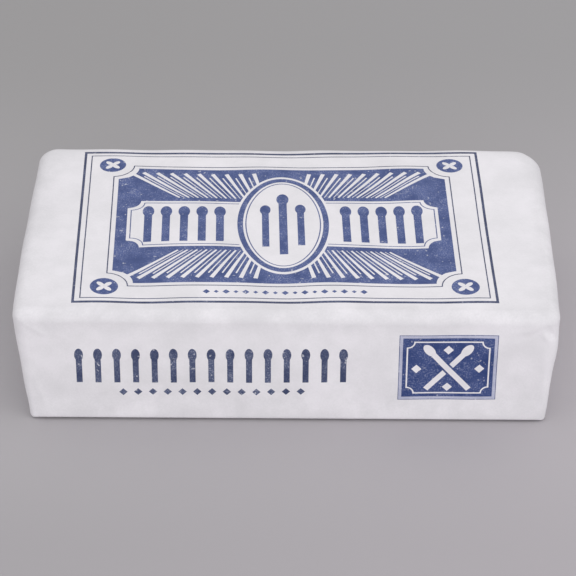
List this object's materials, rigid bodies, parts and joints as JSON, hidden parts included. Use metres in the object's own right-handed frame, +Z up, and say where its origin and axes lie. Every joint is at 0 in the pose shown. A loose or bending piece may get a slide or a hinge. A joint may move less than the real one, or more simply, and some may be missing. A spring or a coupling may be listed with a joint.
{
  "type": "wrapped pack of matchbooks",
  "caption": "Oblong bundle of matchbooks sealed in white printed paper, with soft rounded edges and folds glued over both ends.",
  "frame": {"origin": "centre of the rectangle that the pack covers, on the surface that it rests on", "axes": "+X along the pack to its right end, +Y from the printed front side to the back, +Z up"},
  "size_m": [0.1676, 0.0996, 0.0404],
  "materials": {
    "white_paper": "matt, lightly mottled wrapping paper",
    "blue_ink": "matt, unevenly inked print on the paper"
  },
  "bodies": {
    "root": {"wrapped_pack": "white_paper"}
  },
  "joints": []
}
